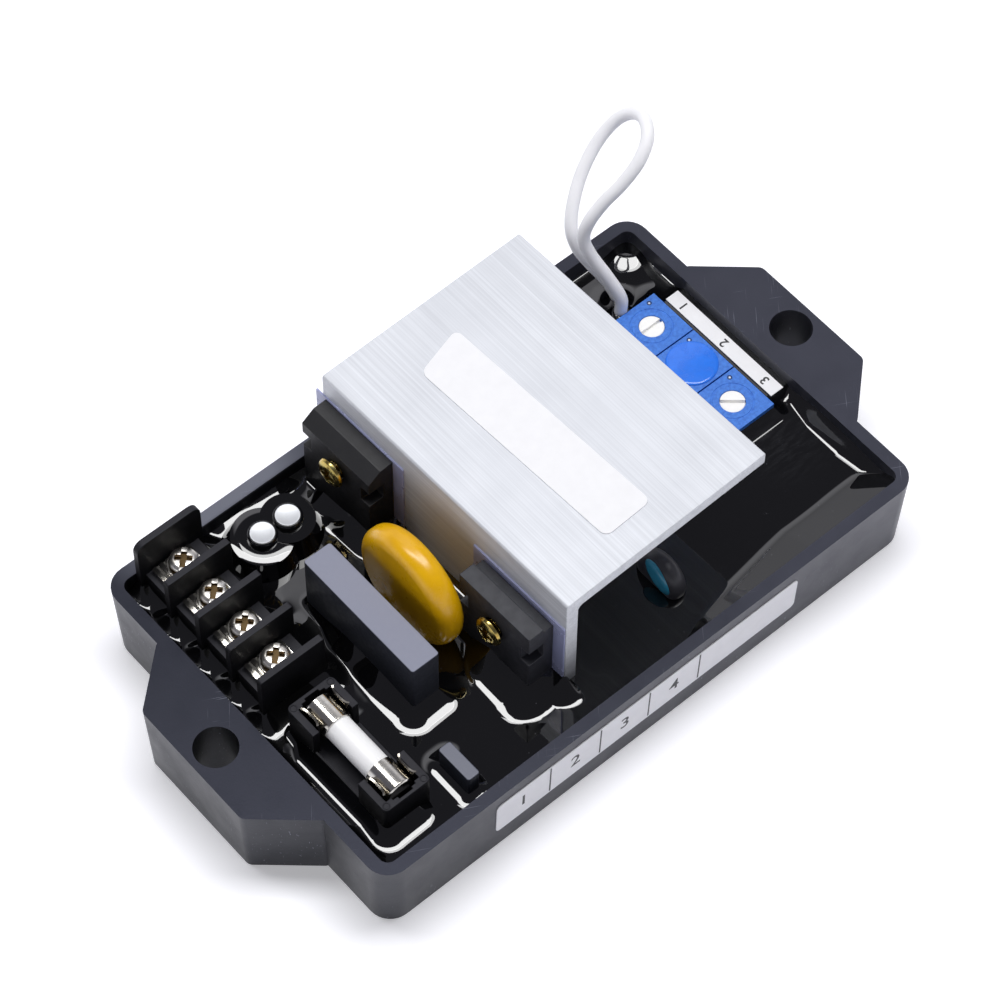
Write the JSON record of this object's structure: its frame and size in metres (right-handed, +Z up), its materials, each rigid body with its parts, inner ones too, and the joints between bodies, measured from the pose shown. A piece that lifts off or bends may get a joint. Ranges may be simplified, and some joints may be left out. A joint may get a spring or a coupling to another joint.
{
  "type": "automatic voltage regulator",
  "caption": "Generator voltage regulator: a potted black tray with mounting ears, a barrier terminal block, a fuse, power devices on an aluminium angle and slotted trimmers.",
  "frame": {"origin": "middle of the tray's underside", "axes": "+X from the terminal end to the trimmer end, +Y from the label side to the back, +Z up"},
  "size_m": [0.1296, 0.0727, 0.0477],
  "materials": {
    "tray_black": "satin moulded",
    "resin_black": "cast gloss",
    "board_green": "solder mask",
    "block_black": "moulded",
    "nickel": "nickel plated",
    "ceramic_white": "fired ceramic",
    "capacitor_grey": "moulded matt",
    "capacitor_dark": "moulded matt",
    "varistor_yellow": "dipped coating",
    "can_sleeve": "shrink sleeve",
    "disc_teal": "dipped coating",
    "aluminium_bare": "brushed extrusion",
    "device_black": "moulded",
    "device_grey": "moulded",
    "insulator_film": "translucent film",
    "yellow_zinc": "passivated zinc",
    "trimmer_blue": "moulded",
    "rotor_white": "moulded",
    "lacquer_blue": "brushed lacquer",
    "label_white": "paper",
    "wire_white": "extruded sleeve"
  },
  "bodies": {
    "base": {"tray": "tray_black", "potting_resin": "resin_black", "circuit_board": "board_green", "terminal_block": "block_black", "terminal_plate_1": "nickel", "terminal_plate_2": "nickel", "terminal_plate_3": "nickel", "terminal_plate_4": "nickel", "terminal_washers": "nickel", "terminal_screws": "nickel", "fuse_holder": "block_black", "fuse_clip_rear": "nickel", "fuse_clip_front": "nickel", "fuse_tube": "ceramic_white", "fuse_cap_rear": "nickel", "fuse_cap_front": "nickel", "film_capacitor": "capacitor_grey", "box_capacitor": "capacitor_dark", "varistor": "varistor_yellow", "electrolytic_left": "can_sleeve", "electrolytic_right": "can_sleeve", "disc_capacitor": "disc_teal", "heatsink": "aluminium_bare", "power_device_rear": "device_black", "power_device_front": "device_grey", "insulator_rear": "insulator_film", "insulator_front": "insulator_film", "device_screws": "yellow_zinc", "trimmer_body_rear": "trimmer_blue", "trimmer_body_middle": "trimmer_blue", "trimmer_body_front": "trimmer_blue", "trimmer_rotor_middle": "rotor_white", "sealing_lacquer": "lacquer_blue", "trimmer_label": "label_white", "side_label": "label_white", "heatsink_label": "label_white", "jumper_wire": "wire_white"},
    "rotor_rear": {"trimmer_rotor_rear": "rotor_white"},
    "rotor_front": {"trimmer_rotor_front": "rotor_white"}
  },
  "joints": [
    {"name": "rear_trimmer_turn", "type": "hinge", "parent": "base", "child": "rotor_rear", "pos_m": [0.04374, 0.01588, 0.0132], "axis": [0, 0, 1], "range_deg": [-150, 150]},
    {"name": "front_trimmer_turn", "type": "hinge", "parent": "base", "child": "rotor_front", "pos_m": [0.04374, -0.00368, 0.0132], "axis": [0, 0, 1], "range_deg": [-109, 191]}
  ]
}
